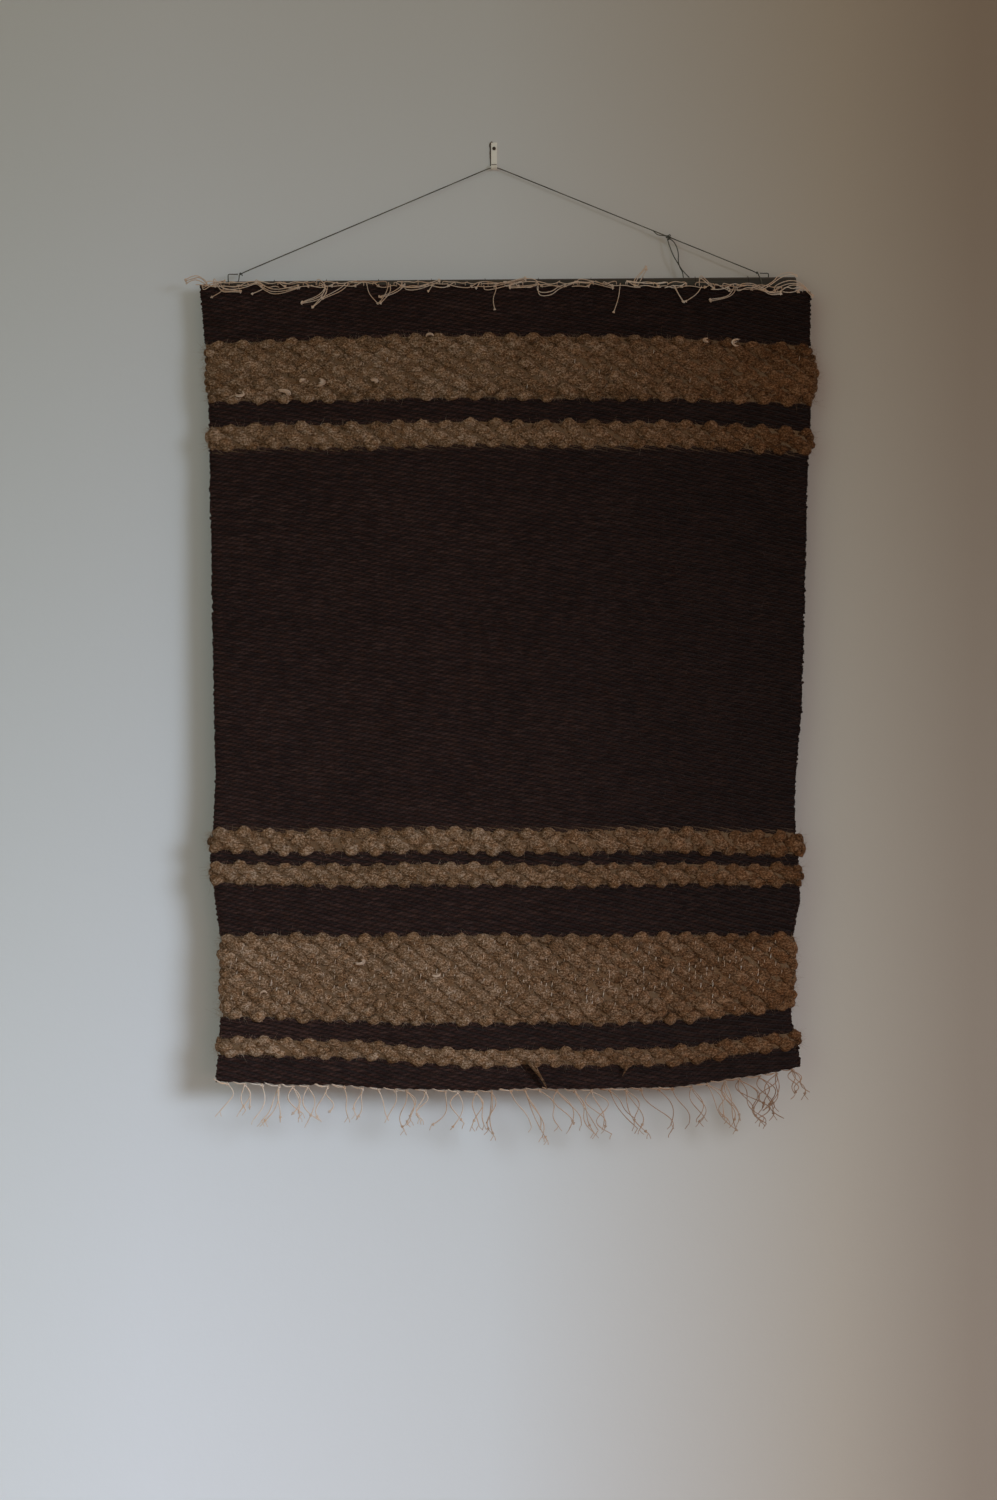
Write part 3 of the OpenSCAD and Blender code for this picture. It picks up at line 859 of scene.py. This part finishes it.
def make_top_fringe():
    """Warp ends tied over the top edge, mostly lying along it, and tufts of them that stand out."""
    knots, ends = Bundle(), Bundle()
    shares = (-0.3, 0.05, 0.4, 0.75, 1)
    rng = default_rng(41)
    for i in range(TOP_GROUPS):
        x = group_x(i, TOP_GROUPS, 0)
        tone = rng.uniform(-0.15, 0.3)
        add_small_knot(knots, rng, (x, seam_height(x, 0) - 1.2 * MM, EDGE_OUT), 2.4 * MM, tone)
        for strand in range(2):
            along = rng.choice([-1, 1]) * rng.uniform(11, 28)
            wave = 1.6 - 3.2 * strand + rng.uniform(-1.6, 1.6, 4)
            bends = [(x / MM + share * along, up) for share, up in zip(shares, (3, *wave))]
            add_edge_strand(ends, bends, rng, tone + rng.uniform(-0.2, 0.2), False)
    for strands, bends in TUFTS:
        for strand in range(strands):
            spread = 2.3 * (strand - (strands - 1) / 2) * rng.uniform(0.8, 1.2)
            own = []
            for share, (across, up) in zip(np.linspace(1.2, 0.4, len(bends)), bends):
                stray = rng.normal(0, 0.4, 2)
                own.append((across + 0.4 * spread * share + stray[0], up - spread * share + stray[1]))
            add_edge_strand(ends, own, rng, rng.uniform(-0.05, 0.25), True)
    knots = knots.build("top_edge_knots", LINEN, "linen")
    ends = ends.build("top_edge_strands", LINEN, "linen")
    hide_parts("top_knots")
    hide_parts("top_fringe")
    return [knots, ends]


def add_edge_strand(bundle, bends, rng, tone, knotted_end):
    """One strand that comes over the top edge and runs through bends measured from the seam."""
    first = bends[0][0] * MM
    plane = [(first, seam_height(first, 0) - 2 * MM, -1.2 * MM), (first, seam_height(first, 0), 1 * MM)]
    depth = EDGE_OUT + rng.uniform(-0.3, 0.9) * MM
    for across, up in bends:
        plane.append((across * MM, seam_height(across * MM, 0) + up * MM, depth))
    plane = round_corners(plane[0 if rng.random() < 0.5 else 1:], 3)
    add_strand(bundle, plane, LINEN_R * 0.9, tone + rng.uniform(-0.12, 0.12), 1.1 * MM)
    if knotted_end:
        add_small_knot(bundle, rng, plane[-1], 1.8 * MM, tone + 0.1)


def make_bottom_fringe():
    """Warp ends below the hem: twisted along it, knotted, then hanging in thin curling strands."""
    bundle = Bundle()
    rng = default_rng(43)
    last = len(SEAMS) - 1
    for i in range(BOTTOM_GROUPS):
        x = group_x(i, BOTTOM_GROUPS, last) + rng.uniform(-2.5, 2.5) * MM
        # From 0 at the left to 1 at the right, the ends get darker, curlier and more in number
        u = i / (BOTTOM_GROUPS - 1)
        low = seam_height(x, last)
        tone = 0.45 - 1.1 * u + rng.uniform(-0.15, 0.15)
        before = x - rng.uniform(12, 17) * MM
        back, rise = (before - x) / MM, (seam_height(before, last) - low) / MM
        for strand in range(3):
            shift = rng.uniform(-0.8, 0.8, 2)
            plane = strand_route((x, low, 0), [
                (back, rise + 2.5, 0), (back * 0.75, rise * 0.75 + shift[0], 0.2),
                (back * 0.35, rise * 0.35 - 1.8 + shift[1], 1.5), (-1, -1.2, 1.2), (0, -2.5, 1)])
            if strand == 0 or rng.random() < 0.45:
                add_strand(bundle, plane, LINEN_R * 1.05, tone + rng.uniform(-0.3, 0.3))
        add_small_knot(bundle, rng, (x, low - 2 * MM, 1.2 * MM), 3.0 * MM, tone)
        lean = -0.12 + 0.6 * math.sin(math.pi * np.clip((u - 0.3) / 0.8, 0, 1)) + rng.normal(0, 0.22)
        curl = 0.4 + u
        long = np.interp(u, (0, 0.25, 0.5, 1), (30, 32, 38, 34)) * rng.uniform(0.75, 1.12)
        bow = rng.uniform(1, 6)
        for strand in range(rng.choice([1, 2, 3]) + (2 if u > 0.88 else 0)):
            add_hanging_end(bundle, rng, x, low, lean, curl, tone, long, bow * (-1) ** strand)
    fringe = bundle.build("bottom_fringe_strands", LINEN, "linen")
    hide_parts("bottom_fringe")
    return fringe


def add_hanging_end(bundle, rng, x, low, lean, curl, tone, long, bow):
    """One thin end: it leans, bows, and splays into two tips below a small knot."""
    long = long * rng.uniform(0.7, 1.05)
    sway = rng.normal(0, 3) * curl
    hook = rng.normal(0, 5)
    moves = []
    for j in range(8):
        t = j / 7
        across = lean * long * t + bow * math.sin(math.pi * t) + sway * math.sin(TAU * t) + hook * t ** 3
        moves.append((across, -2.5 - long * t, 1 + 1.5 * math.sin(2.5 * t + bow)))
    plane = strand_route((x, low, 0), moves)
    add_strand(bundle, plane, LINEN_R * (1.2 - 0.18 * curl), tone, 1.8 * MM)
    if rng.random() < 0.5:
        knot = plane[int(len(plane) * rng.uniform(0.75, 0.95))]
        add_small_knot(bundle, rng, knot, 2.2 * MM, tone)
    for way in (-1, 1)[:rng.integers(0, 3)]:
        tip = [(0, 0, 0), (way * rng.uniform(0.5, 2), -2, 0), (way * rng.uniform(1, 4), -4.5, 0.4)]
        add_strand(bundle, strand_route(plane[-1], tip), LINEN_R * 0.7, tone, 1.5 * MM)


top_pieces = make_top_fringe()
bottom_piece = make_bottom_fringe()


# ---- loose fibre ----
def add_hairs(bundle, rng, roots, directions, lengths, radius, tones):
    """Thin tapering hairs, each bending its own way; lengths (in mm) and tones are ranges."""
    many, rings = len(roots), 4
    long = (rng.uniform(*lengths, many) * MM)[:, None, None]
    tone = rng.uniform(*tones, many)
    t = np.linspace(0, 1, rings)
    bend = rng.normal(0, 0.6, (many, 1, 3)) * long
    along = t[None, :, None]
    centres = roots[:, None] + directions[:, None] * long * along + bend * along * along
    side = unit(rng.normal(0, 1, (many, 1, 3)))
    taper = radius * (1 - 0.7 * t)[None, :]
    bundle.tubes(centres, side, taper, taper, 3, tone[:, None])


def add_face_hairs(bundle, rng, panel, many, facing, depths, flatness, *looks):
    """Hairs at random places on a panel's front or back; flatness is how they lie along it."""
    t = rng.uniform(0, 1, many)
    left, right = panel.full_edge(t, -1), panel.full_edge(t, 1)
    x = left + (right - left) * rng.uniform(0, 1, many)
    roots = lay(x, panel.height(x, t), facing * rng.uniform(*depths, many) * MM)
    lean = rng.normal(0, 1, (many, 2))
    sideways, off = flatness
    directions = unit(lean[:, :1] * ACROSS * sideways + lean[:, 1:] * UP + facing * off * OUT)
    add_hairs(bundle, rng, roots, directions, *looks)


# Hairs on a band: per metre of its height on its front and at each selvedge, and on each seam
FACE_HAIRS, SELVEDGE_HAIRS, SEAM_HAIRS = 54000, 5200, 520


def make_band_fuzz(panel, seed):
    """Hairs standing off the roving: over its faces, at its selvedges and across its seams."""
    rng = default_rng(seed)
    bundle = Bundle()
    tall = panel.picks * panel.pitch
    many = int(FACE_HAIRS * tall)
    for facing, share in ((1, 1.0), (-1, 0.5)):
        add_face_hairs(bundle, rng, panel, int(many * share), facing, (2, 4.4), (1.2, 0.45),
                       (1.5, 4.5), 0.1 * MM, (-0.9, 0.7))
    count = int(SELVEDGE_HAIRS * tall)
    for side in (-1, 1):
        t = rng.uniform(0, 1, count)
        x = panel.full_edge(t, side) - side * 2 * MM
        roots = lay(x, panel.height(x, t), rng.uniform(-3, 3, count) * MM)
        lean = rng.normal(0, 0.6, (count, 1))
        directions = unit(side * ACROSS + lean * UP + rng.normal(0, 0.4, (count, 1)) * OUT)
        add_hairs(bundle, rng, roots, directions, (2.5, 5.5), 0.085 * MM, (-0.2, 0.5))
    for t, way in ((0, 1), (1, -1)):
        x = rng.uniform(panel.edge(t, -1), panel.edge(t, 1), SEAM_HAIRS)
        roots = lay(x, panel.height(x, t) - way * 1.5 * MM, rng.uniform(1.5, 3.5, SEAM_HAIRS) * MM)
        directions = unit(rng.normal(0, 0.9, (SEAM_HAIRS, 1)) * ACROSS + way * UP + 0.25 * OUT)
        add_hairs(bundle, rng, roots, directions, (2, 4.5), 0.09 * MM, (-0.2, 0.5))
    return bundle.build(f"{panel.name}_fuzz", CAMEL_FIBRE, "camel_wool")


def make_ground_fuzz(seed, many):
    """Short dark hairs over the ground weave, front and back."""
    rng = default_rng(seed)
    bundle = Bundle()
    grounds = [p for p in PANELS if p.name not in BANDS]
    tall = np.array([p.picks for p in grounds], float)
    for panel, share in zip(grounds, tall / tall.sum()):
        for facing, part in ((1, 0.7), (-1, 0.3)):
            add_face_hairs(bundle, rng, panel, int(many * share * part), facing, (1, 2), (1, 0.5),
                           (1.5, 5), 0.06 * MM, (-0.4, 0.5))
    return bundle.build("ground_fuzz", BROWN_FIBRE, "brown_wool")


# Pale curls of wool on the bands: across and height from the nail, and size, in millimetres
NEPS = [(-184, -218, 10), (-166, -207, 5), (-153, -207, 9), (-221, -218, 7), (-56, -168, 7), (-105, -207, 6),
        (186, -171, 6), (212, -173, 9), (-117, -710, 9), (-50, -721, 8), (-199, -739, 6)]


def make_neps():
    """Small curls of paler fibre caught in the roving, each a few open arcs that cross."""
    rng = default_rng(51)
    bundle = Bundle()
    for x, z, size in NEPS:
        height = z * MM / UP[2]
        face = rng.uniform(0, TAU)
        for _ in range(6):
            turn = np.linspace(0, rng.uniform(0.35, 0.55) * TAU, 9) + face + rng.normal(0, 0.25)
            r = size * rng.uniform(0.3, 0.5) * MM
            off = rng.normal(0, 0.05, 2) * size * MM
            route = lay(x * MM + off[0] + r * 1.2 * np.cos(turn), height + off[1] + r * 0.7 * np.sin(turn),
                        4.6 * MM + rng.uniform(0, 1, 9) * 0.5 * MM)
            radius = rng.uniform(0.5, 0.9) * MM * np.sin(np.linspace(0.3, 2.84, 9))
            bundle.tubes(route[None], OUT, radius, radius, 6, rng.uniform(-0.45, 0.1))
    return bundle.build("pale_neps", LINEN, "camel_wool")


# Ends of roving that hang loose below the lowest band: across, height, lean per length, and then
# length and thickness; all but the lean in millimetres
LOOSE_ENDS = [(31, -798, 0.55, 27, 3.0), (115, -800, -0.3, 12, 1.6)]


def make_loose_ends():
    """Loose ends of roving, each a lock of fibres that draws to a point."""
    rng = default_rng(52)
    bundle = Bundle()
    t = np.linspace(0, 1, 9)
    width = 1 - 0.85 * t ** 1.5
    for x, z, lean, long, thick in LOOSE_ENDS:
        start = np.array([x * MM, z * MM / UP[2], 4.5 * MM])
        for _ in range(26):
            off = rng.normal(0, 0.4, 2) * thick * MM
            reach = long * rng.uniform(0.75, 1.05) * MM
            across = start[0] + lean * reach * t + off[0] * width + 0.8 * MM * np.sin(4 * t + off[0] * 900)
            out = start[2] + 1 * MM * np.sin(3 * t) + off[1] * width
            route = lay(across, start[1] - reach * t * 0.85, out)
            radius = np.linspace(0.75, 0.12, len(route)) * MM * (thick / 3)
            bundle.tubes(route[None], ACROSS + 0.3 * OUT, radius, radius, 6, rng.uniform(-0.2, 0.4))
    piece = bundle.build("loose_roving_ends", CAMEL, "camel_wool")
    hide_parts("wool_tail")
    return piece


def make_warp_flecks():
    """Short arcs of pale warp that show between the lumps of the wide bands."""
    rng = default_rng(53)
    bundle = Bundle()
    for name, many in (("wool_band_1", 12), ("wool_band_5", 240)):
        panel = next(p for p in PANELS if p.name == name)
        for _ in range(many):
            t = np.clip(rng.normal(0.5, 0.2), 0.08, 0.92)
            warp = rng.integers(2, WARPS - 1)
            x = panel.x_of_warp(warp, t)
            long = rng.uniform(2.5, 4.5) * MM
            s = np.linspace(-0.5, 0.5, 7)
            out = 4.9 * MM - 11 * MM * s ** 2
            route = lay(x + rng.normal(0, 0.3) * MM + 0.6 * MM * s, panel.height(x, t) + long * s, out)
            bundle.tube(route, LINEN_R * 0.45, 5, rng.uniform(0.1, 0.8), twist=LINEN_TWIST)
    return bundle.build("warp_flecks", LINEN, "linen")


fuzz_pieces = [make_band_fuzz(p, 60 + i) for i, p in enumerate(PANELS) if p.name in BANDS]
fuzz_pieces.append(make_ground_fuzz(80, 9000))
extra_pieces = [make_neps(), make_loose_ends(), make_warp_flecks()]


# ---- stitches that hold the cloth on the rod ----
STITCH_R = ROD_R + 0.1 * MM


def make_stitches():
    """Rings of dark thread round the rod and through the top of the cloth."""
    bundle = Bundle()
    low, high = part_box("rod_lashing")
    count, reach = 10, 5.2 * MM
    angle = np.linspace(0.2, TAU + 0.2, 41)
    down = -STITCH_R * np.sin(angle)
    # The front half of each ring reaches out through the cloth
    forward = STITCH_R * np.cos(angle) + reach * np.where(np.cos(angle) > 0, 1, 0)
    for i in range(count):
        x = low.x + THREAD_D / 2 + (high.x - low.x - THREAD_D) * i / (count - 1)
        centre = np.array([x, ROD_Y, rod_z(x)])
        ring = centre + np.stack([0.7 * MM * np.sin(angle / 2 + i), 0 * angle, down], 1)
        route = ring + forward[:, None] * OUT
        bundle.tube(evenly(round_corners(route, 1), 0.9 * MM), 0.16 * MM, 8, 0.0,
                    **THREAD_PLIES | {"lobe": 0.12})
    piece = bundle.build("rod_stitches", BROWN, "thread")
    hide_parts("rod_lashing")
    return piece


stitches = make_stitches()


# ---- CAD nodes that keep their shape ----
def repaint(name, material):
    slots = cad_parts[name].data.materials
    slots.clear()
    slots.append(material)


repaint("hook_plate", painted_steel())
repaint("hook_nail", dark_steel())
repaint("hanging_rod", stained_wood())


def make_rust_and_shadow(material):
    """Painted shadow: a dark line on the wall beside the strip's left edge, where its shadow falls; and a
    dark line on the raw end of its lip, partly rust and partly painted shade behind the lip.
    """
    outline = node_points("hook_plate")
    low, high = outline.min(axis=0), outline.max(axis=0)
    lip_z = outline[outline[:, 1] < low[1] + 0.3 * MM][:, 2].max()
    bundle = Bundle()
    # The painted shadow line beside the strip's left edge
    z = np.linspace(high[2] + 0.6 * MM, lip_z, 28)
    x = low[0] - 0.45 * MM + 0.15 * smooth_noise(z, 3 * MM, 71) * MM
    x[:3] += np.array([1.6, 0.9, 0.3]) * MM
    wide = np.linspace(0.95, 0.5, len(z)) * MM * (1 + 0.25 * smooth_noise(z, 2 * MM, 72))
    bundle.tubes(np.stack([x, np.full(len(z), -0.1 * MM), z], 1)[None], OUT, wide, 0.5 * MM, 8, 0.0)
    # The lip's raw end: rust, and painted shade behind the lip
    x = np.linspace(low[0] + 0.3 * MM, high[0] - 0.3 * MM, 9)
    route = np.stack([x, np.full(9, low[1] + 0.4 * MM), lip_z + 0.1 * MM + 0.1 * MM * np.sin(x * 2000)], 1)
    bundle.tube(route, 0.5 * MM, 8, 0.0)
    return bundle.build("hook_rust_and_shadow_lines", material, "strip_paint", "wall_hook")


make_rust_and_shadow(rust_and_shadow_edge())


# ---- stage ----
def stage_plane(name, corners, material):
    mesh = bpy.data.meshes.new(name)
    mesh.from_pydata(corners, [], [(0, 1, 2, 3)])
    mesh.materials.append(material)
    plane = bpy.data.objects.new(name, mesh)
    scene.collection.objects.link(plane)


def wall_material():
    """Pale plaster with a painted fall-off of light: warmer and darker towards the right, where less light
    falls. Seen only from the room's side.
    """
    material, tree, place = new_material("pale_wall")
    across = spread_out(tree, node(tree, "SeparateXYZ", Vector=place).outputs["X"], -0.43, 0.42)
    # Painted light and shade: the colour goes from cool and bright at the left to warm and dark at the right
    colour = ramp(tree, across, [
        (0.0, (0.66, 0.69, 0.71)), (0.15, (0.68, 0.71, 0.745)), (0.5, (0.648, 0.672, 0.69)),
        (0.86, (0.50, 0.445, 0.38)), (1.0, (0.38, 0.315, 0.26))])
    plaster = noise(tree, place, (60, 60, 60), 5.0, 0.6)
    shader = bumpy_shader(tree, colour, 0.85, plaster, 0.4 * MM, strength=0.5)
    clear = node(tree, "BsdfTransparent")
    rays = node(tree, "LightPath").outputs["Is Camera Ray"]
    behind = node(tree, "NewGeometry").outputs["Backfacing"]
    shown = math_node(tree, "MULTIPLY", rays, math_node(tree, "SUBTRACT", 1.0, behind))
    mix = node(tree, "MixShader", Fac=shown, n1=clear.outputs[0], n2=shader)
    node(tree, "OutputMaterial", Surface=mix.outputs[0])
    return material


def floor_material():
    material, tree, place = new_material("pale_floor")
    cloudy = noise(tree, place, (3, 3, 3), 4.0, 0.6)
    colour = ramp(tree, cloudy, [(0.3, (0.56, 0.55, 0.53)), (0.7, (0.62, 0.61, 0.59))])
    return finished(material, colour, 0.7, cloudy, 0.5 * MM)


WALL_Y, WALL_TOP = 0.4 * MM, 3
FLOOR_Z = -1.75
REACH = 6
stage_plane("wall", [(-REACH, WALL_Y, FLOOR_Z), (REACH, WALL_Y, FLOOR_Z),
                     (REACH, WALL_Y, WALL_TOP), (-REACH, WALL_Y, WALL_TOP)], wall_material())
stage_plane("floor", [(-REACH, -REACH, FLOOR_Z), (REACH, -REACH, FLOOR_Z),
                      (REACH, REACH, FLOOR_Z), (-REACH, REACH, FLOOR_Z)], floor_material())


def add_light(name, kind, place, target, power, colour, **shape):
    """A lamp at a place, turned to its target; shape holds its kind's own settings."""
    data = bpy.data.lights.new(name, kind)
    data.energy = power
    data.color = colour
    for setting, value in shape.items():
        setattr(data, setting, value)
    light = bpy.data.objects.new(name, data)
    light.location = place
    light.rotation_euler = (Vector(target) - Vector(place)).to_track_quat("-Z", "Y").to_euler()
    scene.collection.objects.link(light)


# The two spots' pools of light fade all the way out to the edges of their cones
add_light("window", "SPOT", (1.85, -2.3, -0.25), (-0.74, 0, -1.46), 675, (0.735, 0.853, 1.0),
          shadow_soft_size=0.9, spot_size=math.radians(36), spot_blend=1.0)
add_light("lamp", "SPOT", (0.9, -2.7, -1.5), (-0.3, 0, -1.6), 45, (1.0, 0.57, 0.53),
          shadow_soft_size=0.6, spot_size=math.radians(40), spot_blend=1.0)
add_light("room", "AREA", (-1.9, -2.6, 0.3), (-0.6, 0, -0.9), 4.4, (0.48, 1.0, 0.96),
          size=2.6, spread=math.radians(100))
add_light("back", "AREA", (0.8, 2.0, 0.5), (0, 0, -0.5), 15, (1.0, 1.0, 1.0), size=1.8)

world = bpy.data.worlds.new("studio")
scene.world = world
world.use_nodes = True
background = world.node_tree.nodes["Background"].inputs
background["Color"].default_value = (1.0, 0.73, 0.54, 1)
background["Strength"].default_value = 0.335
scene.view_settings.view_transform = "Standard"
